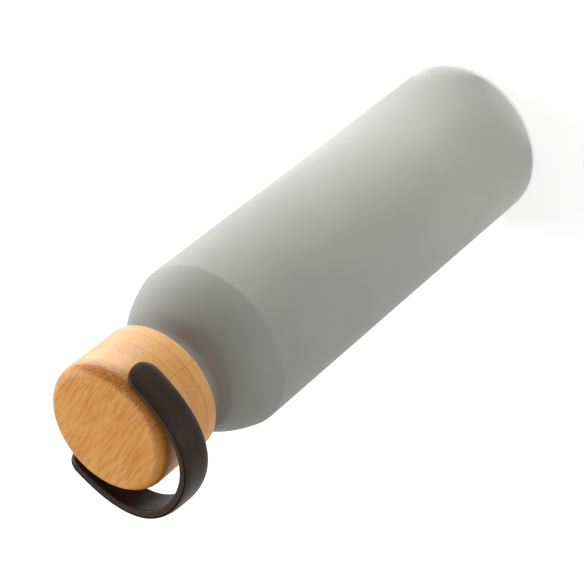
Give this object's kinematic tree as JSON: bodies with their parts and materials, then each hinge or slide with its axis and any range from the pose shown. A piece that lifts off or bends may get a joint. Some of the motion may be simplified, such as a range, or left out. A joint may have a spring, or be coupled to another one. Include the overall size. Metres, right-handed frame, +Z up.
{
  "type": "insulated water bottle",
  "caption": "Slim double-walled steel drinking bottle with a domed shoulder, a turned bamboo screw lid and a swinging silicone carry strap.",
  "frame": {"origin": "centre of the flat base, on the surface that the bottle stands on", "axes": "+Z up along the bottle's axis, from base to lid. X is the strap's pivot axis, and the strap's bow reaches towards -Y."},
  "size_m": [0.073, 0.0764, 0.253],
  "materials": {
    "powder_coat": "matte sage grey powder coat",
    "flask_steel": "satin stainless steel",
    "bottom_steel": "dull pressed stainless steel",
    "seal_glass": "opaque dark solder glass",
    "getter_metal": "dull grey",
    "base_steel": "brushed stainless steel",
    "white_plastic": "satin moulded polypropylene",
    "clear_silicone": "milky satin silicone",
    "liner_steel": "satin stainless steel",
    "bamboo": "satin lacquered laminated bamboo",
    "stud_steel": "turned, bright",
    "brass": "turned, bright",
    "dark_silicone": "satin dark brown-black silicone"
  },
  "bodies": {
    "bottle": {"outer_shell": "powder_coat", "inner_flask": "flask_steel", "vacuum_bottom": "bottom_steel", "seal_bead": "seal_glass", "getter": "getter_metal", "base_cap": "base_steel"},
    "lid_seal": {"gasket": "clear_silicone", "liner_disc": "liner_steel"},
    "lid": {"bamboo_lid": "bamboo", "thread_insert": "white_plastic", "stud_socket_left": "brass", "stud_socket_right": "brass", "pivot_stud_left": "stud_steel", "pivot_stud_right": "stud_steel"},
    "strap": {"strap": "dark_silicone"}
  },
  "joints": [
    {"name": "lid_rise", "type": "slide", "parent": "bottle", "child": "lid_seal", "axis": [0, 0, 1], "range_m": [0, 0.0161]},
    {"name": "lid_turn", "type": "hinge", "parent": "lid_seal", "child": "lid", "pos_m": [0, 0, 0.2187], "axis": [0, 0, 1], "range_deg": [0, 480]},
    {"name": "strap_swing", "type": "hinge", "parent": "lid", "child": "strap", "pos_m": [0, 0, 0.24449], "axis": [-1, 0, 0], "range_deg": [-31, 207]}
  ],
  "couplings": [
    {"joint": "lid_rise", "follows": "lid_turn", "m_per_rad": 0.0019099}
  ]
}
